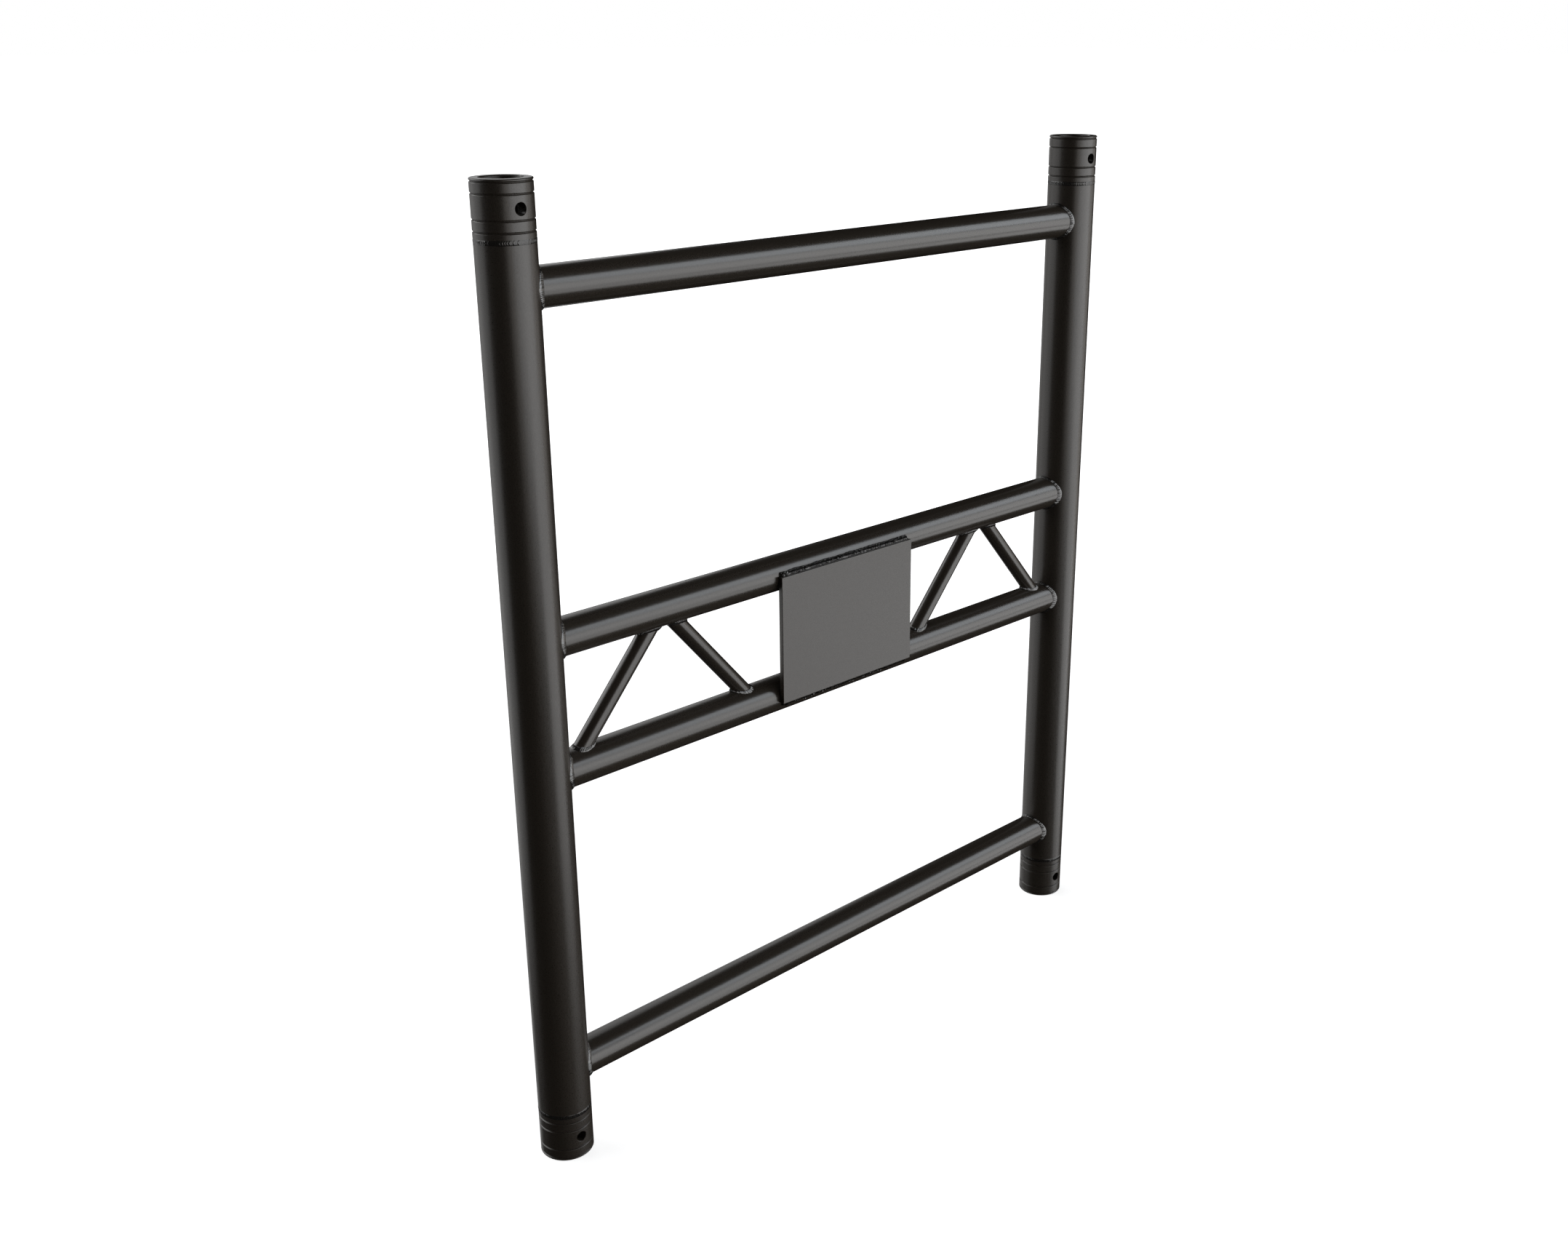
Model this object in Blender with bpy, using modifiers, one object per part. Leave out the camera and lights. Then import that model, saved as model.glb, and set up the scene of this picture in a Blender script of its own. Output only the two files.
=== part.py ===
"""Lighting truss section: a welded ladder of two vertical chord tubes.

Run with: blender --background --python part.py

Metres, +Z up.  The origin is the middle of the footprint, on the plane that the lower chord ends
stand on.  X runs from the left chord to the right one, and the front, the plate's side, is -Y.
Both chords, the four cross tubes and the four diagonals have their axes in the plane Y = 0.

Each chord is a tube with a machined receiver welded into either end.  A receiver has a tapered
socket for a conical coupler, and a cross hole for the pin that locks the coupler in it.
"""

from math import cos, pi, sin, sqrt

import bmesh
import bpy
from mathutils import Euler, Matrix, Vector

# Driving dimensions
SECTION_HEIGHT = 0.900
CHORD_SPACING = 0.715
CHORD_DIAMETER = 0.050
CHORD_WALL = 0.003
CROSS_TUBE_DIAMETER = 0.035
CROSS_TUBE_WALL = 0.003
CROSS_TUBE_END_DISTANCE = 0.0875    # from an end face of the section to the outer cross tube
MIDDLE_TUBE_SPACING = 0.125         # between the two middle cross tubes
DIAGONAL_DIAMETER = 0.016
DIAGONAL_WALL = 0.002
DIAGONAL_PITCHES = 6                # equal steps along a middle cross tube, between ...
DIAGONAL_END_OFFSET = 0.030         # ... two points this far inside the chord axes

PLATE_WIDTH = 0.180
PLATE_HEIGHT = 0.130
PLATE_THICKNESS = 0.005
PLATE_EDGE_ROUNDING = 0.0006

# Coupler receiver, as distances from its end face
RECEIVER_FACE_LENGTH = 0.046        # the full-diameter part, which ends at the ring weld
RECEIVER_LENGTH = 0.070             # with the spigot inside the chord
RIM_CHAMFER = 0.0008
GROOVE_DISTANCES = (0.0025, 0.0116, 0.0316, 0.0408)
GROOVE_HALF_WIDTH = 0.0008
GROOVE_DEPTH = 0.0010
PIN_HOLE_DISTANCE = 0.0227
PIN_HOLE_DIAMETER = 0.010
SOCKET_MOUTH_RADIUS = 0.018
SOCKET_CHAMFER = 0.001
SOCKET_END_RADIUS = 0.0135
SOCKET_DEPTH = 0.042
BORE_RADIUS = 0.0130                # from the socket's end on into the chord

RING_WELD_WIDTH = 0.004
CROSS_WELD_LEG = 0.0032
DIAGONAL_WELD_LEG = 0.0026
WELD_CROWN = 0.64                   # of the leg, where 0.5 is a flat fillet
PLATE_WELD_LEG = 0.0040
PLATE_WELD_END_GAP = 0.0015

CONTACT_GAP = 0.0003                # between pieces that touch
CUTTER_OVERSIZE = 0.010

CHORD_STEPS = 32
CROSS_TUBE_STEPS = 32
DIAGONAL_STEPS = 24
PIN_HOLE_STEPS = 16
SMOOTH_ANGLE = 0.6

# Worked out from them
CHORD_RADIUS = CHORD_DIAMETER / 2
CHORD_BORE = CHORD_RADIUS - CHORD_WALL
CROSS_TUBE_RADIUS = CROSS_TUBE_DIAMETER / 2
DIAGONAL_RADIUS = DIAGONAL_DIAMETER / 2
CHORD_X = CHORD_SPACING / 2
CHORD_TUBE_END = RECEIVER_FACE_LENGTH + RING_WELD_WIDTH
MIDDLE_Z = SECTION_HEIGHT / 2
CROSS_TUBE_HEIGHTS = {
    "top": SECTION_HEIGHT - CROSS_TUBE_END_DISTANCE,
    "upper": MIDDLE_Z + MIDDLE_TUBE_SPACING / 2,
    "lower": MIDDLE_Z - MIDDLE_TUBE_SPACING / 2,
    "bottom": CROSS_TUBE_END_DISTANCE,
}
DIAGONAL_PITCH = (CHORD_SPACING - 2 * DIAGONAL_END_OFFSET) / DIAGONAL_PITCHES
DIAGONAL_SPAN = Vector((DIAGONAL_PITCH, 0, MIDDLE_TUBE_SPACING))
PLATE_BACK_Y = -CROSS_TUBE_RADIUS - CONTACT_GAP

QUARTER_TURN_X = Euler((pi / 2, 0, 0))
QUARTER_TURN_Y = Euler((0, pi / 2, 0))
HALF_TURN_X = Euler((pi, 0, 0))
HALF_TURN_Y = Euler((0, pi, 0))
HALF_TURN_Z = Euler((0, 0, pi))
NO_TURN = Euler((0, 0, 0))


# Scene and materials

def clear_scene():
    for obj in list(bpy.data.objects):
        bpy.data.objects.remove(obj, do_unlink=True)


def new_collection(name):
    collection = bpy.data.collections.new(name)
    bpy.context.scene.collection.children.link(collection)
    return collection


def painted(name, grey, roughness):
    """A black coating that covers the metal, so it isn't metallic itself."""
    material = bpy.data.materials.new(name)
    material.use_nodes = True
    shader = material.node_tree.nodes["Principled BSDF"]
    shader.inputs["Base Color"].default_value = (grey, grey, grey, 1)
    shader.inputs["Roughness"].default_value = roughness
    shader.inputs["Metallic"].default_value = 0
    return material


# Modelling helpers

def guide_object(name, mesh, rotation=NO_TURN, location=(0, 0, 0)):
    """A hidden object that is only a step towards a piece."""
    obj = bpy.data.objects.new(name, mesh)
    obj.rotation_euler = rotation
    obj.location = location
    obj.hide_render = True
    obj.display_type = "WIRE"
    guides.objects.link(obj)
    return obj


def solid_cylinder(name, radius, length, steps, rotation=NO_TURN, location=(0, 0, 0)):
    """A cylinder centred on its location, along Z before it is rotated."""
    shape = bmesh.new()
    bmesh.ops.create_cone(shape, cap_ends=True, segments=steps, radius1=radius,
                          radius2=radius, depth=length)
    mesh = bpy.data.meshes.new(name)
    shape.to_mesh(mesh)
    shape.free()
    return guide_object(name, mesh, rotation, location)


def turned(name, profile, steps):
    """A closed profile of (radius, z) points turned about Z.  It runs down the outer side."""
    points = [(radius, 0, z) for radius, z in profile]
    edges = [(i, (i + 1) % len(points)) for i in range(len(points))]
    mesh = bpy.data.meshes.new(name)
    mesh.from_pydata(points, edges, [])
    obj = guide_object(name, mesh)
    screw = obj.modifiers.new("turn", "SCREW")
    screw.axis = "Z"
    screw.steps = steps
    screw.render_steps = steps
    screw.use_merge_vertices = True
    screw.merge_threshold = 0.00001
    return obj


def tube(name, radius, wall, bottom, top, steps):
    """A hollow tube about Z, open at both ends."""
    profile = [(radius, top), (radius, bottom), (radius - wall, bottom), (radius - wall, top)]
    return turned(name, profile, steps)


def cut(obj, cutters):
    for cutter in cutters:
        modifier = obj.modifiers.new("cut", "BOOLEAN")
        modifier.operation = "DIFFERENCE"
        modifier.solver = "EXACT"
        modifier.object = cutter


def finished_mesh(obj, cutters=()):
    """The object's mesh as its modifiers leave it.  The object and its cutters are removed."""
    cut(obj, cutters)
    bpy.context.view_layer.update()
    depsgraph = bpy.context.evaluated_depsgraph_get()
    mesh = bpy.data.meshes.new_from_object(obj.evaluated_get(depsgraph))
    mesh.transform(obj.matrix_world)
    mesh.name = obj.name
    mesh.shade_smooth()
    mesh.set_sharp_from_angle(angle=SMOOTH_ANGLE)
    for helper in (obj, *cutters):
        bpy.data.objects.remove(helper, do_unlink=True)
    return mesh


def place(name, mesh, material, location=(0, 0, 0), rotation=NO_TURN):
    """One piece of the truss, which may share its mesh with others."""
    if not mesh.materials:
        mesh.materials.append(material)
    obj = bpy.data.objects.new(name, mesh)
    obj.location = location
    obj.rotation_euler = rotation
    truss.objects.link(obj)
    return obj


# Welds between round tubes

def saddle_point(angle, branch_radius, run_radius, direction):
    """A point where a branch tube's surface meets a run tube's surface.

    The run tube lies along X and the branch leaves the origin along direction, in the plane
    Y = 0.  The angle goes round the branch, and a point is found by sliding along it.
    """
    across = Vector((0, 1, 0))
    inward = across.cross(direction)
    sideways = branch_radius * sin(angle)
    offset = inward * branch_radius * cos(angle) + across * sideways
    height = sqrt(run_radius ** 2 - sideways ** 2)
    slide = (height - offset.z) / direction.z
    return offset + direction * slide


def saddle_bead(name, branch_radius, run_radius, direction, leg, steps):
    """A fillet bead all round a branch tube where it meets the run tube, as a closed ring.

    Each corner of the bead's section is a distance out from the branch's surface and one out
    from the run's, so that the ring follows the saddle whatever the angle between the tubes.
    """
    near = CONTACT_GAP
    crown = leg * WELD_CROWN
    section = [(near, near), (near, leg), (crown, crown), (leg, near)]
    shape = bmesh.new()
    rings = []
    for step in range(steps):
        angle = 2 * pi * step / steps
        rings.append([shape.verts.new(saddle_point(angle, branch_radius + out,
                                                   run_radius + up, direction))
                      for out, up in section])
    for here, after in zip(rings, rings[1:] + rings[:1]):
        for corner in range(len(section)):
            following = (corner + 1) % len(section)
            shape.faces.new((here[corner], here[following], after[following], after[corner]))
    bmesh.ops.recalc_face_normals(shape, faces=shape.faces)
    mesh = bpy.data.meshes.new(name)
    shape.to_mesh(mesh)
    shape.free()
    return finished_mesh(guide_object(name, mesh))


# The pieces, each as a mesh about its own reference point

def chord_mesh():
    half_length = SECTION_HEIGHT / 2 - CHORD_TUBE_END
    return finished_mesh(tube("chord", CHORD_RADIUS, CHORD_WALL, -half_length, half_length,
                              CHORD_STEPS))


def receiver_mesh():
    """The end face is at Z = 0, facing up, and the spigot points down."""
    spigot_radius = CHORD_BORE - CONTACT_GAP
    outer = [(SOCKET_MOUTH_RADIUS, 0),
             (CHORD_RADIUS - RIM_CHAMFER, 0),
             (CHORD_RADIUS, -RIM_CHAMFER)]
    for distance in GROOVE_DISTANCES:
        outer += [(CHORD_RADIUS, -distance + GROOVE_HALF_WIDTH),
                  (CHORD_RADIUS - GROOVE_DEPTH, -distance),
                  (CHORD_RADIUS, -distance - GROOVE_HALF_WIDTH)]
    outer += [(CHORD_RADIUS, -RECEIVER_FACE_LENGTH),
              (spigot_radius, -RECEIVER_FACE_LENGTH),
              (spigot_radius, -RECEIVER_LENGTH)]
    inner = [(BORE_RADIUS, -RECEIVER_LENGTH),
             (BORE_RADIUS, -SOCKET_DEPTH),
             (SOCKET_END_RADIUS, -SOCKET_DEPTH),
             (SOCKET_MOUTH_RADIUS - SOCKET_CHAMFER, -SOCKET_CHAMFER)]
    body = turned("receiver", outer + inner, CHORD_STEPS)
    pin_hole = solid_cylinder("pin_hole", PIN_HOLE_DIAMETER / 2,
                              CHORD_DIAMETER + CUTTER_OVERSIZE, PIN_HOLE_STEPS,
                              QUARTER_TURN_X, (0, 0, -PIN_HOLE_DISTANCE))
    return finished_mesh(body, [pin_hole])


def ring_weld_mesh():
    """Fills the groove between a receiver's shoulder and the end of the chord tube."""
    half_width = RING_WELD_WIDTH / 2 - CONTACT_GAP
    return finished_mesh(tube("ring_weld", CHORD_RADIUS, CHORD_WALL - CONTACT_GAP / 2,
                              -half_width, half_width, CHORD_STEPS))


def cross_tube_mesh():
    """Along X about its own middle, with both ends coped to the chords."""
    blank = tube("cross_tube", CROSS_TUBE_RADIUS, CROSS_TUBE_WALL, -CHORD_X, CHORD_X,
                 CROSS_TUBE_STEPS)
    blank.rotation_euler = QUARTER_TURN_Y
    copes = [solid_cylinder("cope", CHORD_RADIUS + CONTACT_GAP,
                            CROSS_TUBE_DIAMETER + CUTTER_OVERSIZE, CHORD_STEPS,
                            location=(side * CHORD_X, 0, 0))
             for side in (-1, 1)]
    return finished_mesh(blank, copes)


def diagonal_mesh():
    """Rising from the left, about its own middle, with both ends coped to the cross tubes."""
    length = DIAGONAL_SPAN.length
    blank = tube("diagonal", DIAGONAL_RADIUS, DIAGONAL_WALL, -length / 2, length / 2,
                 DIAGONAL_STEPS)
    blank.rotation_mode = "QUATERNION"
    blank.rotation_quaternion = DIAGONAL_SPAN.to_track_quat("Z", "Y")
    copes = [solid_cylinder("cope", CROSS_TUBE_RADIUS + CONTACT_GAP,
                            4 * DIAGONAL_DIAMETER, CROSS_TUBE_STEPS, QUARTER_TURN_Y,
                            DIAGONAL_SPAN * (end / 2))
             for end in (-1, 1)]
    return finished_mesh(blank, copes)


def plate_mesh():
    """About its own middle, in the plane Y = 0."""
    shape = bmesh.new()
    bmesh.ops.create_cube(shape, size=1)
    bmesh.ops.scale(shape, vec=(PLATE_WIDTH, PLATE_THICKNESS, PLATE_HEIGHT), verts=shape.verts)
    mesh = bpy.data.meshes.new("plate")
    shape.to_mesh(mesh)
    shape.free()
    plate = guide_object("plate", mesh)
    rounding = plate.modifiers.new("rounding", "BEVEL")
    rounding.width = PLATE_EDGE_ROUNDING
    rounding.segments = 1
    return finished_mesh(plate)


def plate_weld_mesh():
    """The bead on the plate's upper edge, about the upper cross tube's axis.

    Its section lies on the edge and follows the tube's front up from there.
    """
    edge_z = (PLATE_HEIGHT - MIDDLE_TUBE_SPACING) / 2 + CONTACT_GAP
    tube_radius = CROSS_TUBE_RADIUS + CONTACT_GAP
    section = []
    for z in (edge_z, edge_z + PLATE_WELD_LEG / 2, edge_z + PLATE_WELD_LEG):
        section.append((-sqrt(tube_radius ** 2 - z ** 2), z))
    crown = PLATE_WELD_LEG * WELD_CROWN
    section.append((PLATE_BACK_Y - crown, edge_z + crown))
    section.append((PLATE_BACK_Y - PLATE_WELD_LEG, edge_z))
    outline = bpy.data.curves.new("plate_weld", "CURVE")
    outline.dimensions = "2D"
    outline.fill_mode = "BOTH"
    outline.extrude = PLATE_WIDTH / 2 - PLATE_WELD_END_GAP
    spline = outline.splines.new("POLY")
    spline.points.add(len(section) - 1)
    for point, (y, z) in zip(spline.points, section):
        point.co = (y, z, 0, 1)
    spline.use_cyclic_u = True
    drawn = guide_object("plate_weld", outline)
    # The outline's own X and Y become the truss's Y and Z
    drawn.rotation_euler = Matrix(((0, 0, 1), (1, 0, 0), (0, 1, 0))).to_euler()
    mesh = finished_mesh(drawn)
    shape = bmesh.new()
    shape.from_mesh(mesh)
    bmesh.ops.remove_doubles(shape, verts=shape.verts, dist=0.00001)
    bmesh.ops.recalc_face_normals(shape, faces=shape.faces)
    shape.to_mesh(mesh)
    shape.free()
    return mesh


# The assembly

def build_chords(paint, weld_paint):
    chord = chord_mesh()
    receiver = receiver_mesh()
    ring_weld = ring_weld_mesh()
    ring_weld_distance = RECEIVER_FACE_LENGTH + RING_WELD_WIDTH / 2
    for side, x in (("left", -CHORD_X), ("right", CHORD_X)):
        place(f"chord_{side}", chord, paint, (x, 0, MIDDLE_Z))
        ends = (("top", SECTION_HEIGHT, -1, NO_TURN), ("bottom", 0, 1, HALF_TURN_X))
        for end, face_z, inward, turn in ends:
            place(f"coupler_receiver_{end}_{side}", receiver, paint, (x, 0, face_z), turn)
            place(f"ring_weld_{end}_{side}", ring_weld, weld_paint,
                  (x, 0, face_z + inward * ring_weld_distance))


def build_cross_tubes(paint, weld_paint):
    cross_tube = cross_tube_mesh()
    # Modelled on a run along X with the branch going up, then turned onto a chord
    bead = saddle_bead("cross_weld", CROSS_TUBE_RADIUS, CHORD_RADIUS, Vector((0, 0, 1)),
                       CROSS_WELD_LEG, CROSS_TUBE_STEPS)
    bead.transform(QUARTER_TURN_Y.to_matrix().to_4x4())
    for level, z in CROSS_TUBE_HEIGHTS.items():
        place(f"cross_tube_{level}", cross_tube, paint, (0, 0, z))
        place(f"cross_weld_{level}_left", bead, weld_paint, (-CHORD_X, 0, z))
        place(f"cross_weld_{level}_right", bead, weld_paint, (CHORD_X, 0, z), HALF_TURN_Z)


def build_diagonals(paint, weld_paint):
    """Two pairs, each an upside-down V whose legs meet the upper cross tube at one point."""
    diagonal = diagonal_mesh()
    bead = saddle_bead("diagonal_weld", DIAGONAL_RADIUS, CROSS_TUBE_RADIUS,
                       DIAGONAL_SPAN.normalized(), DIAGONAL_WELD_LEG, DIAGONAL_STEPS)
    legs = (("left_outer", -3, -2), ("left_inner", -1, -2),
            ("right_inner", 1, 2), ("right_outer", 3, 2))
    for name, foot_pitch, head_pitch in legs:
        foot = Vector((foot_pitch * DIAGONAL_PITCH, 0, CROSS_TUBE_HEIGHTS["lower"]))
        head = Vector((head_pitch * DIAGONAL_PITCH, 0, CROSS_TUBE_HEIGHTS["upper"]))
        rises_right = head.x > foot.x
        place(f"diagonal_{name}", diagonal, paint, (foot + head) / 2,
              NO_TURN if rises_right else HALF_TURN_Z)
        place(f"diagonal_weld_{name}_foot", bead, weld_paint, foot,
              NO_TURN if rises_right else HALF_TURN_Z)
        place(f"diagonal_weld_{name}_head", bead, weld_paint, head,
              HALF_TURN_Y if rises_right else HALF_TURN_X)


def build_plate(paint, weld_paint):
    plate_y = PLATE_BACK_Y - PLATE_THICKNESS / 2
    place("mounting_plate", plate_mesh(), paint, (0, plate_y, MIDDLE_Z))
    bead = plate_weld_mesh()
    place("plate_weld_top", bead, weld_paint, (0, 0, CROSS_TUBE_HEIGHTS["upper"]))
    place("plate_weld_bottom", bead, weld_paint, (0, 0, CROSS_TUBE_HEIGHTS["lower"]),
          HALF_TURN_Y)


clear_scene()
truss = new_collection("lighting_truss_section")
guides = new_collection("cutters_and_guides")
tube_paint = painted("tube_paint", 0.018, 0.45)
weld_paint = painted("weld_paint", 0.012, 0.30)
build_chords(tube_paint, weld_paint)
build_cross_tubes(tube_paint, weld_paint)
build_diagonals(tube_paint, weld_paint)
build_plate(tube_paint, weld_paint)
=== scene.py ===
"""Looks of the lighting truss section: a fine piece for every CAD node, paint, light and camera.

Metres, +Z up, in the CAD frame: X runs from the left chord to the right one, and the front, the
plate's side, is -Y.  Each piece takes its place and its size from the CAD node that it replaces.
"""

from math import cos, pi, radians, sin, tan

import bmesh
import bpy
import numpy as np
from mathutils import Euler, Matrix, Vector


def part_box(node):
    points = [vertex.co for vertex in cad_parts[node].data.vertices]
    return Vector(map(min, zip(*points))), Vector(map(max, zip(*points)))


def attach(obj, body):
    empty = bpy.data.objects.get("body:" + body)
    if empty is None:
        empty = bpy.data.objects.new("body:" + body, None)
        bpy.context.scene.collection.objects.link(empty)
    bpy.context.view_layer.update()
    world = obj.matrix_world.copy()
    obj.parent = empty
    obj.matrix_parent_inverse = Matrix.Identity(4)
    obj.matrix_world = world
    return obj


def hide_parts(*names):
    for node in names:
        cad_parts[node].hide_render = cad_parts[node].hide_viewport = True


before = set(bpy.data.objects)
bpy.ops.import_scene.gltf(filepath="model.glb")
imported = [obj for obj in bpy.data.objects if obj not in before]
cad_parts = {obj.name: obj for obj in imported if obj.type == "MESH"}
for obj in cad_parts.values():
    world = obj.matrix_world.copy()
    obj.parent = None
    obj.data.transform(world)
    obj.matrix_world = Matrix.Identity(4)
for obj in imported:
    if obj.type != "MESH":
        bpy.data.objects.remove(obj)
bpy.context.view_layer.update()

SIDES = ("left", "right")
ENDS = ("top", "bottom")
LEVELS = ("top", "upper", "lower", "bottom")
LEGS = ("left_outer", "left_inner", "right_inner", "right_outer")


# Sizes and places, read from the frame

def middle(node):
    low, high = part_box(node)
    return (low + high) / 2


def size(node):
    low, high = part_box(node)
    return high - low


CHORD_RADIUS = size("chord_left").y / 2
CHORD_X = middle("chord_right").x
CROSS_TUBE_RADIUS = size("cross_tube_top").z / 2
DIAGONAL_RADIUS = size("diagonal_left_outer").y / 2
LEVEL_Z = {level: middle(f"cross_tube_{level}").z for level in LEVELS}
DIAGONAL_PITCH = middle("diagonal_left_inner").x - middle("diagonal_left_outer").x
DIAGONAL_RISE = LEVEL_Z["upper"] - LEVEL_Z["lower"]
FACE_Z = {"top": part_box("coupler_receiver_top_left")[1].z,
          "bottom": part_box("coupler_receiver_bottom_left")[0].z}
RING_WELD_DISTANCE = middle("ring_weld_bottom_left").z - FACE_Z["bottom"]

CHORD_WALL = 0.003
CROSS_TUBE_WALL = 0.003
DIAGONAL_WALL = 0.002
RING_WELD_WIDTH = 0.0040
CROSS_WELD_LEG = 0.0028
DIAGONAL_WELD_LEG = 0.0023
PLATE_WELD_LEG = 0.0040

# Coupler receiver, as distances from its end face
SPIGOT_LENGTH = size("coupler_receiver_top_left").z
RIM_CHAMFER = 0.0008
GROOVE_DISTANCES = (0.0025, 0.0116, 0.0316, 0.0408)
GROOVE_HALF_WIDTH = 0.0008
GROOVE_DEPTH = 0.0010
GROOVE_LIP = 0.00022
PIN_HOLE_DISTANCE = 0.0227
PIN_HOLE_RADIUS = 0.005
PIN_HOLE_LIP = 0.00035
SOCKET_MOUTH_RADIUS = 0.018
SOCKET_CHAMFER = 0.001
SOCKET_END_RADIUS = 0.0135
SOCKET_DEPTH = 0.042
BORE_RADIUS = 0.0130

# Length of one weld ripple, and how far its middle bows ahead of its ends, in ripples
CROSS_WELD_PITCH, DIAGONAL_WELD_PITCH, FILLET_BOW = 0.0017, 0.0014, 0.45
RING_WELD_PITCH, RING_WELD_BOW = 0.0018, 0.9
PLATE_WELD_PITCH, PLATE_WELD_BOW = 0.0013, 0.3
RING_WELD_SUNK = 0.00022            # below the chord's surface at its edges
RING_WELD_CROWN = 0.00010
RING_RIPPLE_HEIGHT = 0.00034
SPATTER_COUNT = 26
PLATE_EDGE_ROUNDING = 0.0006

TUBE_STEPS = 128
RECEIVER_STEPS = 160
PIN_HOLE_STEPS = 48
RIPPLE_SAMPLES = 7                  # mesh lines in one ripple
BURIED = 0.0004                     # how far a weld or a tube's end reaches into its neighbour
SMOOTH_ANGLE = radians(38)
SUPPORT_GAP = 0.00012               # from a corner to the mesh line that keeps its side straight


# Mesh helpers

def finished(name, shape):
    """A smooth-shaded mesh from a bmesh, with its faces pointing out."""
    bmesh.ops.recalc_face_normals(shape, faces=shape.faces)
    mesh = bpy.data.meshes.new(name)
    shape.to_mesh(mesh)
    shape.free()
    mesh.shade_smooth()
    mesh.set_sharp_from_angle(angle=SMOOTH_ANGLE)
    return mesh


def ring_mesh(name, points):
    """A mesh through a grid of points that closes on itself both ways, like a torus."""
    rows, columns = points.shape[:2]
    here = np.arange(rows * columns).reshape(rows, columns)
    after = np.roll(here, -1, axis=0)
    faces = np.stack((here, np.roll(here, -1, axis=1), np.roll(after, -1, axis=1), after), -1)
    mesh = bpy.data.meshes.new(name)
    mesh.from_pydata(points.reshape(-1, 3), [], faces.reshape(-1, 4).tolist())
    shape = bmesh.new()
    shape.from_mesh(mesh)
    bpy.data.meshes.remove(mesh)
    return finished(name, shape)


def supported(profile):
    """The profile with a point next to both ends of each long side.

    Smooth shading then bends only at the corners, and the long sides stay straight.
    """
    points = []
    for here, after in zip(profile, profile[1:] + profile[:1]):
        here, after = np.array(here), np.array(after)
        length = np.linalg.norm(after - here)
        points.append(here)
        if length > 4 * SUPPORT_GAP:
            step = (after - here) * SUPPORT_GAP / length
            points += [here + step, after - step]
    return points


def turned_points(profile, steps):
    """A closed profile of (radius, z) points turned about Z, as a grid."""
    angles = np.linspace(0, 2 * pi, steps, endpoint=False)[:, None]
    radius, z = np.array(supported(profile)).T
    return np.stack((radius * np.cos(angles), radius * np.sin(angles),
                     np.broadcast_to(z, (steps, len(z)))), -1)


def add_piece(name, mesh, slot, node, place=Matrix.Identity(4)):
    """One piece of the truss, which stands for a CAD node of the same shape."""
    if not mesh.materials:
        mesh.materials.append(paints[slot])
    piece = bpy.data.objects.new(name, mesh)
    piece.matrix_world = place
    bpy.context.scene.collection.objects.link(piece)
    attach(piece, "root")
    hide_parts(node)


def turn(angle, axis, location=(0, 0, 0)):
    return Matrix.Translation(location) @ Matrix.Rotation(angle, 4, axis)


# Tubes

def saddle(angles, branch_radius, run_radius, direction):
    """Points where a branch tube's surface meets a run tube's surface.

    The run tube lies along X and the branch leaves the origin along direction, in the plane
    Y = 0.  The angles go round the branch, and each point is found by sliding along it.  Each
    radius is one number, or one for each angle.
    """
    across = np.array((0.0, 1.0, 0.0))
    inward = np.cross(across, direction)
    sideways = branch_radius * np.sin(angles)
    offset = (np.multiply.outer(branch_radius * np.cos(angles), inward)
              + np.multiply.outer(sideways, across))
    height = np.sqrt(run_radius ** 2 - sideways ** 2)
    slide = (height - offset[..., 2]) / direction[2]
    return offset + np.multiply.outer(slide, np.ones(3)) * direction


def coped_tube_mesh(name, span, radius, wall, run_radius):
    """A hollow tube from the origin to span, coped at both ends to run tubes along X."""
    span = np.array(span)
    direction = span / np.linalg.norm(span)
    angles = np.linspace(0, 2 * pi, TUBE_STEPS, endpoint=False)
    lines = []
    for shell in (radius, radius - wall):
        foot = saddle(angles, shell, run_radius - BURIED, direction)
        head = saddle(pi - angles, shell, run_radius - BURIED, direction)
        head = span * (1, 0, 1) + head * (-1, 1, -1)
        lines.append((foot, head))
    (outer_foot, outer_head), (inner_foot, inner_head) = lines
    return ring_mesh(name, np.stack((outer_foot, outer_head, inner_head, inner_foot), 1))


def chord_mesh():
    half_length = size("chord_left").z / 2
    outer, inner = CHORD_RADIUS, CHORD_RADIUS - CHORD_WALL
    profile = [(outer, half_length), (outer, -half_length),
               (inner, -half_length), (inner, half_length)]
    return ring_mesh("chord_shape", turned_points(profile, TUBE_STEPS))


# Coupler receivers

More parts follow.
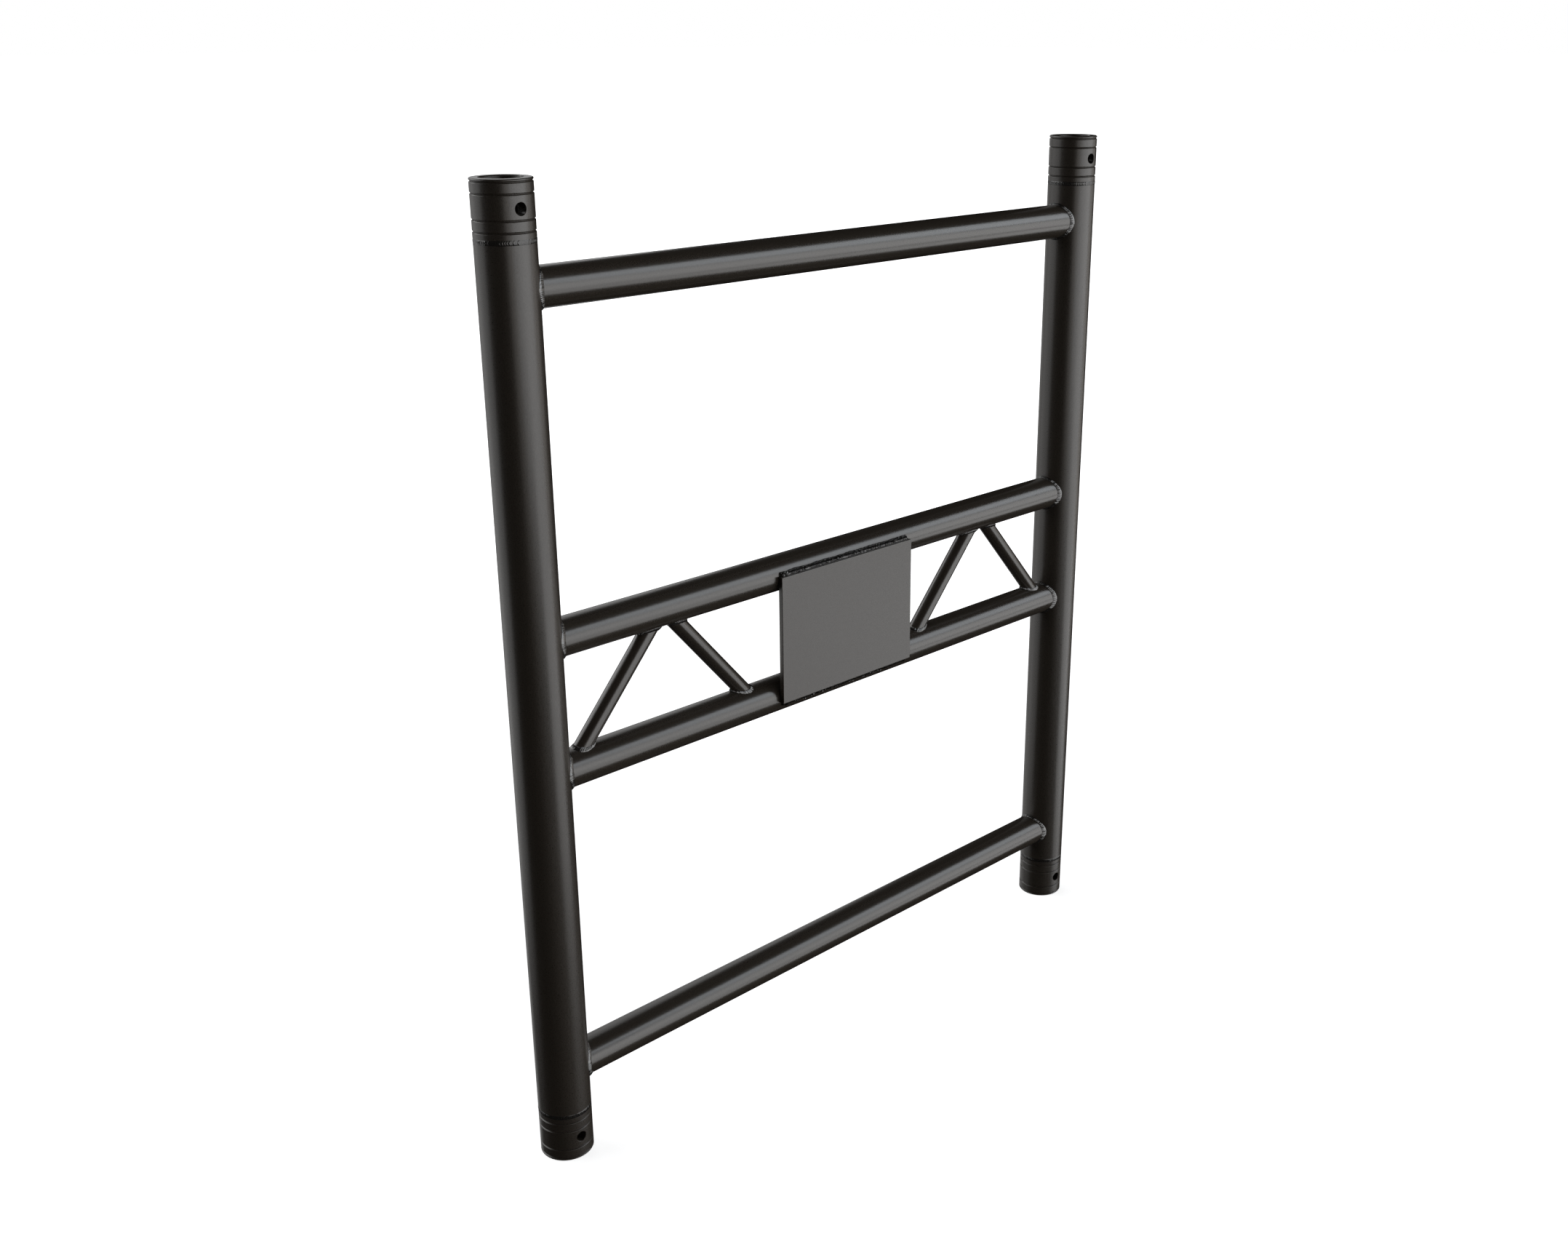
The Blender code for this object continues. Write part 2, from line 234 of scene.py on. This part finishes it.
def receiver_profile():
    """The end face is at Z = 0, facing up.  Every edge that shows is slightly rounded."""
    spigot_radius = CHORD_RADIUS - CHORD_WALL
    shoulder = RING_WELD_DISTANCE - RING_WELD_WIDTH / 2
    outer = [(SOCKET_MOUTH_RADIUS, 0), (CHORD_RADIUS - RIM_CHAMFER, 0),
             (CHORD_RADIUS - RIM_CHAMFER * 0.35, -RIM_CHAMFER * 0.35),
             (CHORD_RADIUS, -RIM_CHAMFER)]
    lip = GROOVE_LIP
    for distance in GROOVE_DISTANCES:
        half = [(CHORD_RADIUS, GROOVE_HALF_WIDTH + lip),
                (CHORD_RADIUS - lip * 0.3, GROOVE_HALF_WIDTH + lip * 0.3),
                (CHORD_RADIUS - lip, GROOVE_HALF_WIDTH - lip * 0.35),
                (CHORD_RADIUS - GROOVE_DEPTH, lip * 0.3)]
        outer += [(radius, -distance + z) for radius, z in half]
        outer += [(radius, -distance - z) for radius, z in reversed(half)]
    outer += [(CHORD_RADIUS, -shoulder), (spigot_radius, -shoulder),
              (spigot_radius, -SPIGOT_LENGTH)]
    inner = [(BORE_RADIUS, -SPIGOT_LENGTH), (BORE_RADIUS, -SOCKET_DEPTH),
             (SOCKET_END_RADIUS, -SOCKET_DEPTH),
             (SOCKET_MOUTH_RADIUS - SOCKET_CHAMFER, -SOCKET_CHAMFER)]
    return outer + inner


def pin_hole_cutter():
    """A cross hole along Y, widening where it leaves the receiver so that its edge is broken."""
    angles = np.linspace(0, 2 * pi, PIN_HOLE_STEPS, endpoint=False)
    shape = bmesh.new()
    rings = []
    steps = ((PIN_HOLE_RADIUS, -BURIED), (PIN_HOLE_RADIUS + PIN_HOLE_LIP, 0),
             (PIN_HOLE_RADIUS + PIN_HOLE_LIP * 4, PIN_HOLE_LIP * 6))
    for side in (-1, 1):
        ordered = reversed(steps) if side < 0 else steps
        for radius, proud in ordered:
            x, z = radius * np.cos(angles), radius * np.sin(angles)
            y = side * (np.sqrt(CHORD_RADIUS ** 2 - x ** 2) + proud)
            rings.append([shape.verts.new(p) for p in zip(x, y, z)])
    for here, after in zip(rings, rings[1:]):
        for i in range(len(here)):
            j = (i + 1) % len(here)
            shape.faces.new((here[i], here[j], after[j], after[i]))
    shape.faces.new(rings[0])
    shape.faces.new(rings[-1])
    mesh = finished("pin_hole_cutter", shape)
    return bpy.data.objects.new("pin_hole_cutter", mesh)


def receiver_mesh():
    blank = bpy.data.objects.new("receiver_blank",
                                 ring_mesh("receiver", turned_points(receiver_profile(),
                                                                      RECEIVER_STEPS)))
    cutter = pin_hole_cutter()
    cutter.location.z = -PIN_HOLE_DISTANCE
    for obj in (blank, cutter):
        bpy.context.scene.collection.objects.link(obj)
    hole = blank.modifiers.new("pin_hole", "BOOLEAN")
    hole.object = cutter
    bpy.context.view_layer.update()
    depsgraph = bpy.context.evaluated_depsgraph_get()
    mesh = bpy.data.meshes.new_from_object(blank.evaluated_get(depsgraph))
    for helper in (blank, cutter):
        bpy.data.objects.remove(helper, do_unlink=True)
    mesh.name = "receiver_shape"
    mesh.shade_smooth()
    mesh.set_sharp_from_angle(angle=SMOOTH_ANGLE)
    return mesh


# Welds.  A bead is a row of overlapping ripples, each left by one dab of filler.

def ripples(length, pitch, columns, bow, seed, calm=0.35):
    """The height of the ripples over a bead, from 0 to about 1, with the distances along it.

    Each ripple is an arch with a sharp dip behind it, bowed forward in the bead's middle.  Its
    strength and its place vary, and here and there the bead is calm and almost smooth.
    """
    random = np.random.default_rng(seed)
    count = max(3, round(length / pitch))
    distance = np.arange(count * RIPPLE_SAMPLES) / RIPPLE_SAMPLES
    wander = np.interp(distance, np.arange(count + 1),
                       np.append(random.normal(0, 0.16, count), 0))
    strength = random.uniform(0.30, 1.15, count)
    patches = 0.5 + 0.5 * np.sin(distance * 2 * pi * 3 / count + random.uniform(0, 2 * pi))
    patches *= 0.5 + 0.5 * np.sin(distance * 2 * pi * 5 / count + random.uniform(0, 2 * pi))
    across = np.linspace(-1, 1, columns)
    phase = (distance + wander)[:, None] + bow * (1 - across ** 2)[None, :]
    arch = 1 - (2 * (phase % 1) - 1) ** 2
    own = strength[np.floor(phase).astype(int) % count]
    height = arch * own * (1 - calm * patches[:, None])
    return distance / count, height


def fillet_bead_mesh(name, branch_radius, run_radius, direction, leg, pitch, seed):
    """A rippled fillet bead all round a branch tube where it meets a run tube."""
    direction = np.array(direction) / np.linalg.norm(direction)
    columns = 12
    fine = np.linspace(0, 2 * pi, 721)
    path = saddle(fine, branch_radius + leg / 2, run_radius + leg / 2, direction)
    travelled = np.append(0, np.cumsum(np.linalg.norm(np.diff(path, axis=0), axis=1)))
    share, height = ripples(travelled[-1], pitch, columns, FILLET_BOW, seed)
    angles = np.interp(share * travelled[-1], travelled, fine)
    random = np.random.default_rng(seed + 1000)
    swell = 1 + sum(random.uniform(0.02, 0.05) * np.sin(wave * angles + random.uniform(0, 2 * pi))
                    for wave in (2, 3, 5, 9))
    toe = np.linspace(0, pi / 2, columns)
    edge_fade = np.sin(2 * toe) ** 0.5
    scale = swell[:, None] * (0.84 + 0.24 * height * edge_fade)
    out = 0.72 * leg * np.sin(toe) ** 1.4 * scale
    up = 1.10 * leg * np.cos(toe) ** 1.4 * scale
    buried = np.full_like(angles, -BURIED)
    section = [*zip(out.T, up.T), (out[:, -1], buried), (buried, buried), (buried, up[:, 0])]
    grid = [saddle(angles, branch_radius + outward, run_radius + upward, direction)
            for outward, upward in section]
    return ring_mesh(name, np.stack(grid, 1))


def ring_weld_mesh(name, seed):
    """A low rippled band round the chord, between the receiver's shoulder and the tube."""
    columns = 10
    share, height = ripples(2 * pi * CHORD_RADIUS, RING_WELD_PITCH, columns, RING_WELD_BOW, seed,
                            calm=0.6)
    angles = share * 2 * pi
    across = np.linspace(-1, 1, columns)
    crown = RING_WELD_CROWN * (1 - across ** 2)
    radius = (CHORD_RADIUS - RING_WELD_SUNK + crown
              + RING_RIPPLE_HEIGHT * height * (1 - across ** 4))
    radius = np.concatenate((radius, np.full((len(angles), 2), CHORD_RADIUS - CHORD_WALL)), 1)
    z = np.concatenate((across, (1, -1))) * RING_WELD_WIDTH / 2
    return ring_mesh(name, np.stack((radius * np.cos(angles)[:, None],
                                     radius * np.sin(angles)[:, None],
                                     np.broadcast_to(z, radius.shape)), -1))


def plate_weld_mesh(name, seed):
    """The bead on the plate's edge, about the cross tube's axis, with spatter on it."""
    low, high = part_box("plate_weld_top")
    length = high.x - low.x
    edge_z = low.z - LEVEL_Z["upper"]
    back_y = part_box("mounting_plate")[1].y
    columns = 12
    share, height = ripples(length, PLATE_WELD_PITCH, columns, PLATE_WELD_BOW, seed, calm=0.25)
    random = np.random.default_rng(seed)
    swell = 1 + 0.05 * np.sin(share * 31 + random.uniform(0, 6)) + 0.04 * np.sin(share * 73)
    end_gap = np.minimum(share, 1 - share) * length
    swell = swell * np.clip(end_gap / 0.002, 0.05, 1) ** 0.5
    toe = np.linspace(0, pi / 2, columns)
    scale = swell[:, None] * (0.80 + 0.32 * height * np.sin(2 * toe) ** 0.4)
    z = edge_z + PLATE_WELD_LEG * np.sin(toe) ** 0.9 * scale
    y = -np.sqrt(CROSS_TUBE_RADIUS ** 2 - z ** 2) + BURIED / 2
    y -= PLATE_WELD_LEG * np.cos(toe) ** 0.9 * scale
    x = low.x + share * length
    buried = np.stack((np.full(len(x), -CROSS_TUBE_RADIUS + 0.003),
                       np.full(len(x), edge_z - BURIED)), -1)
    y = np.concatenate((y, buried[:, :1], buried[:, :1], y[:, :1]), 1)
    z = np.concatenate((z, z[:, -1:], buried[:, 1:], buried[:, 1:]), 1)
    points = np.stack((np.broadcast_to(x[:, None], y.shape), y, z), -1)
    rows, around = points.shape[:2]
    shape = bmesh.new()
    grid = [[shape.verts.new(p) for p in row] for row in points]
    for here, after in zip(grid, grid[1:]):
        for i in range(around):
            j = (i + 1) % around
            shape.faces.new((here[i], here[j], after[j], after[i]))
    shape.faces.new(grid[0])
    shape.faces.new(grid[-1])
    for _ in range(SPATTER_COUNT):
        add_spatter(shape, random, low.x + random.uniform(0.02, 0.98) * length, back_y, edge_z)
    return finished(name, shape)


def add_spatter(shape, random, x, back_y, edge_z):
    """One small lump of spatter on the bead."""
    place = random.uniform(0.15, 1.1)
    lump = bmesh.ops.create_icosphere(shape, subdivisions=2, radius=random.uniform(0.0004, 0.0011))
    centre = Vector((x, back_y - PLATE_WELD_LEG * cos(place) * 0.92,
                     edge_z + PLATE_WELD_LEG * sin(place) * 0.92))
    for vert in lump["verts"]:
        vert.co = vert.co * random.uniform(0.75, 1.2) + centre


def plate_mesh():
    low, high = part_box("mounting_plate")
    shape = bmesh.new()
    bmesh.ops.create_cube(shape, size=1)
    bmesh.ops.scale(shape, vec=high - low, verts=shape.verts)
    bmesh.ops.bevel(shape, geom=shape.edges[:], offset=PLATE_EDGE_ROUNDING, segments=4, profile=0.5,
                    affect="EDGES")
    sides = [face for face in shape.faces if face.calc_area() > (high - low).y ** 2]
    bmesh.ops.inset_individual(shape, faces=sides, thickness=SUPPORT_GAP)
    bmesh.ops.translate(shape, vec=(low + high) / 2, verts=shape.verts)
    return finished("plate_shape", shape)


# Paint

def powder_coat(name, colour, roughness, grain, peel, gloss=0.5):
    """Black powder coat: a fine grain over a softer orange peel, unevenly glossy."""
    material = bpy.data.materials.new(name)
    material.use_nodes = True
    nodes, links = material.node_tree.nodes, material.node_tree.links
    shader = nodes["Principled BSDF"]
    shader.inputs["Metallic"].default_value = 0
    shader.inputs["Specular IOR Level"].default_value = gloss
    place = nodes.new("ShaderNodeTexCoord").outputs["Object"]

    def noise(scale, detail):
        texture = nodes.new("ShaderNodeTexNoise")
        texture.inputs["Scale"].default_value = scale
        texture.inputs["Detail"].default_value = detail
        links.new(place, texture.inputs["Vector"])
        return texture.outputs["Fac"]

    def spread(value, low, high):
        span = nodes.new("ShaderNodeMapRange")
        span.inputs["From Min"].default_value = 0.3
        span.inputs["From Max"].default_value = 0.7
        span.inputs["To Min"].default_value = low
        span.inputs["To Max"].default_value = high
        links.new(value, span.inputs["Value"])
        return span.outputs["Result"]

    tint = nodes.new("ShaderNodeMix")
    tint.data_type = "RGBA"
    tint.inputs["A"].default_value = (*(channel * 0.85 for channel in colour), 1)
    tint.inputs["B"].default_value = (*(channel * 1.15 for channel in colour), 1)
    links.new(spread(noise(800, 2), 0, 1), tint.inputs["Factor"])
    links.new(tint.outputs["Result"], shader.inputs["Base Color"])
    links.new(spread(noise(1100, 2), roughness * 0.85, roughness * 1.15),
              shader.inputs["Roughness"])

    normal = None
    for scale, depth in ((1500, grain), (420, peel)):
        bump = nodes.new("ShaderNodeBump")
        bump.inputs["Strength"].default_value = 1
        bump.inputs["Distance"].default_value = depth
        links.new(noise(scale, 2), bump.inputs["Height"])
        if normal:
            links.new(normal, bump.inputs["Normal"])
        normal = bump.outputs["Normal"]
    links.new(normal, shader.inputs["Normal"])
    return material


# The pieces

def build_chords():
    chord, receiver = chord_mesh(), receiver_mesh()
    for side, x in zip(SIDES, (-CHORD_X, CHORD_X)):
        node = f"chord_{side}"
        add_piece(f"{node}_tube", chord, "chord_paint", node,
                  Matrix.Translation(middle(node)))
        for end in ENDS:
            inverted = turn(0 if end == "top" else pi, "X", (x, 0, FACE_Z[end]))
            node = f"coupler_receiver_{end}_{side}"
            add_piece(f"{node}_body", receiver, "receiver_paint", node, inverted)
            node = f"ring_weld_{end}_{side}"
            bead = ring_weld_mesh(f"{node}_shape", len(node) + 7 * SIDES.index(side))
            bead.materials.append(ring_weld_paint)
            add_piece(f"{node}_bead", bead, "weld_paint", node,
                      Matrix.Translation((x, 0, middle(node).z)))


def build_cross_tubes():
    # Modelled between runs along X, rising along Z, then laid along X between the chords
    lying = Matrix(((0, 0, 1, 0), (0, 1, 0, 0), (-1, 0, 0, 0), (0, 0, 0, 1)))
    tube = coped_tube_mesh("cross_tube_shape", (0, 0, 2 * CHORD_X), CROSS_TUBE_RADIUS,
                           CROSS_TUBE_WALL, CHORD_RADIUS)
    for number, level in enumerate(LEVELS):
        z = LEVEL_Z[level]
        left = Matrix.Translation((-CHORD_X, 0, z)) @ lying
        right = turn(pi, "Z", (CHORD_X, 0, z)) @ lying
        add_piece(f"cross_tube_{level}_tube", tube, "tube_paint",
                  f"cross_tube_{level}", left)
        for side, place in zip(SIDES, (left, right)):
            node = f"cross_weld_{level}_{side}"
            bead = fillet_bead_mesh(f"{node}_shape", CROSS_TUBE_RADIUS, CHORD_RADIUS, (0, 0, 1),
                                    CROSS_WELD_LEG, CROSS_WELD_PITCH,
                                    10 + 2 * number + SIDES.index(side))
            add_piece(f"{node}_bead", bead, "weld_paint", node, place)


def build_diagonals():
    span = (DIAGONAL_PITCH, 0, DIAGONAL_RISE)
    tube = coped_tube_mesh("diagonal_shape", span, DIAGONAL_RADIUS, DIAGONAL_WALL,
                           CROSS_TUBE_RADIUS)
    for number, (leg, foot_pitch, head_pitch) in enumerate(zip(LEGS, (-3, -1, 1, 3),
                                                               (-2, -2, 2, 2))):
        rises_right = head_pitch > foot_pitch
        foot = Vector((foot_pitch * DIAGONAL_PITCH, 0, LEVEL_Z["lower"]))
        head = Vector((head_pitch * DIAGONAL_PITCH, 0, LEVEL_Z["upper"]))
        at_foot = turn(0 if rises_right else pi, "Z", foot)
        at_head = turn(pi, "Y" if rises_right else "X", head)
        add_piece(f"diagonal_{leg}_tube", tube, "tube_paint", f"diagonal_{leg}", at_foot)
        for end, place, seed in (("foot", at_foot, 40), ("head", at_head, 60)):
            node = f"diagonal_weld_{leg}_{end}"
            bead = fillet_bead_mesh(f"{node}_shape", DIAGONAL_RADIUS, CROSS_TUBE_RADIUS, span,
                                    DIAGONAL_WELD_LEG, DIAGONAL_WELD_PITCH, seed + number)
            add_piece(f"{node}_bead", bead, "weld_paint", node, place)


def build_plate():
    add_piece("mounting_plate_panel", plate_mesh(), "plate_paint", "mounting_plate")
    for node, level, angle, seed in (("plate_weld_top", "upper", 0, 80),
                                     ("plate_weld_bottom", "lower", pi, 81)):
        place = turn(angle, "Y", (0, 0, LEVEL_Z[level]))
        add_piece(f"{node}_bead", plate_weld_mesh(f"{node}_shape", seed),
                  "weld_paint", node, place)


# Studio

LIGHT_DISTANCE = 12.0
WARM, NEUTRAL, COOL = (1.0, 0.95, 0.90), (1.0, 1.0, 1.0), (0.90, 0.95, 1.0)
LIGHTS = (
    # azimuth from -Y towards +X, elevation, radiance, colour
    ("front_wide", (-30, 60), (-15, 15), 1.5, WARM),
    ("front", (-10, 60), (-15, 15), 1.5, COOL),
    ("front_core", (5, 50), (-10, 10), 0.5, NEUTRAL),
    ("front_foot", (20, 65), (-30, -15), 2.5, NEUTRAL),
    ("front_high", (30, 65), (15, 35), 4.0, COOL),
    ("right", (60, 85), (-20, 15), 1.0, WARM),
    ("left", (190, 245), (-30, 10), 1.0, NEUTRAL),
    ("left_high", (185, 250), (10, 40), 3.0, NEUTRAL),
    ("back", (140, 190), (-45, 10), 0.5, NEUTRAL),
    ("back_high", (140, 165), (10, 75), 1.0, NEUTRAL),
)
WATTS_PER_RADIANCE = pi             # for a square metre of an area light


def direction_to(azimuth, elevation):
    azimuth, elevation = radians(azimuth), radians(elevation)
    return Vector((sin(azimuth) * cos(elevation), -cos(azimuth) * cos(elevation),
                   sin(elevation)))


def add_light(name, azimuths, elevations, radiance, colour):
    """A soft box that fills a range of directions, seen from the middle of the truss."""
    centre = Vector((0, 0, (FACE_Z["top"] + FACE_Z["bottom"]) / 2))
    light = bpy.data.lights.new(name, "AREA")
    light.shape = "RECTANGLE"
    light.size = 2 * LIGHT_DISTANCE * tan(radians(azimuths[1] - azimuths[0]) / 2)
    light.size_y = 2 * LIGHT_DISTANCE * tan(radians(elevations[1] - elevations[0]) / 2)
    light.energy = radiance * WATTS_PER_RADIANCE * light.size * light.size_y
    light.color = colour
    out = direction_to(sum(azimuths) / 2, sum(elevations) / 2)
    lamp = bpy.data.objects.new(name, light)
    lamp.location = centre + out * LIGHT_DISTANCE
    lamp.rotation_euler = out.to_track_quat("Z", "Y").to_euler()
    lamp.visible_camera = False
    bpy.context.scene.collection.objects.link(lamp)


def add_world():
    world = bpy.data.worlds.new("white_backdrop")
    bpy.context.scene.world = world
    world.use_nodes = True
    background = world.node_tree.nodes["Background"]
    background.inputs["Color"].default_value = (1, 1, 1, 1)
    background.inputs["Strength"].default_value = 1
    world.cycles_visibility.glossy = False
    world.cycles_visibility.diffuse = False


def add_floor():
    """A pale floor that glows a little more away from the truss, so that it blends into white."""
    material = bpy.data.materials.new("floor_white")
    material.use_nodes = True
    nodes, links = material.node_tree.nodes, material.node_tree.links
    shader = nodes["Principled BSDF"]
    shader.inputs["Base Color"].default_value = (0.8, 0.8, 0.8, 1)
    shader.inputs["Roughness"].default_value = 0.9
    shader.inputs["Specular IOR Level"].default_value = 0
    shader.inputs["Emission Color"].default_value = (1, 1, 1, 1)
    distance = nodes.new("ShaderNodeVectorMath")
    distance.operation = "LENGTH"
    links.new(nodes.new("ShaderNodeTexCoord").outputs["Object"], distance.inputs["Vector"])
    brighten = nodes.new("ShaderNodeMapRange")
    brighten.inputs["From Min"].default_value = 0.5
    brighten.inputs["From Max"].default_value = 2.0
    brighten.inputs["To Min"].default_value = 0.78
    brighten.inputs["To Max"].default_value = 1.1
    links.new(distance.outputs["Value"], brighten.inputs["Value"])
    links.new(brighten.outputs["Result"], shader.inputs["Emission Strength"])
    shape = bmesh.new()
    bmesh.ops.create_grid(shape, size=60, x_segments=1, y_segments=1)
    mesh = bpy.data.meshes.new("floor")
    shape.to_mesh(mesh)
    shape.free()
    mesh.materials.append(material)
    floor = bpy.data.objects.new("floor", mesh)
    floor.location.z = FACE_Z["bottom"] - 0.0002
    floor.visible_glossy = False
    floor.visible_diffuse = False
    floor.visible_shadow = False
    bpy.context.scene.collection.objects.link(floor)


CAMERA_PLACE = (-1.0878, -1.1185, 1.0108)
CAMERA_TILT, CAMERA_HEADING = 70.11, -44.64
LENS, LENS_SHIFT = 37.656, (-0.0389, -0.0062)


def add_camera():
    lens = bpy.data.cameras.new("camera")
    lens.sensor_width = 36
    lens.lens = LENS
    lens.shift_x, lens.shift_y = LENS_SHIFT
    lens.clip_end = 200
    camera = bpy.data.objects.new("camera", lens)
    camera.location = CAMERA_PLACE
    camera.rotation_euler = Euler((radians(CAMERA_TILT), 0, radians(CAMERA_HEADING)))
    bpy.context.scene.collection.objects.link(camera)
    bpy.context.scene.camera = camera


BLACK = (0.024, 0.020, 0.016)
DARK_BLACK = (0.014, 0.013, 0.012)
# After the name: colour, roughness, and the depths of the grain and the orange peel, in metres
paints = {
    "chord_paint": powder_coat("satin_black_chord", BLACK, 0.31, 0.000013, 0.000001),
    "receiver_paint": powder_coat("satin_black_receiver", BLACK, 0.31, 0.000013, 0.000001),
    "tube_paint": powder_coat("satin_black_tube", BLACK, 0.23, 0.000004, 0.000001),
    "plate_paint": powder_coat("satin_black_plate", BLACK, 0.30, 0.000010, 0.0000005),
    "weld_paint": powder_coat("gloss_black_weld", DARK_BLACK, 0.10, 0.000003, 0.000002, 1.0),
}
ring_weld_paint = powder_coat("satin_black_ring_weld", DARK_BLACK, 0.18, 0.000003, 0.000002, 0.45)
add_camera()
add_world()
add_floor()
for light in LIGHTS:
    add_light(*light)
build_chords()
build_cross_tubes()
build_diagonals()
build_plate()
bpy.context.scene.view_settings.view_transform = "Standard"
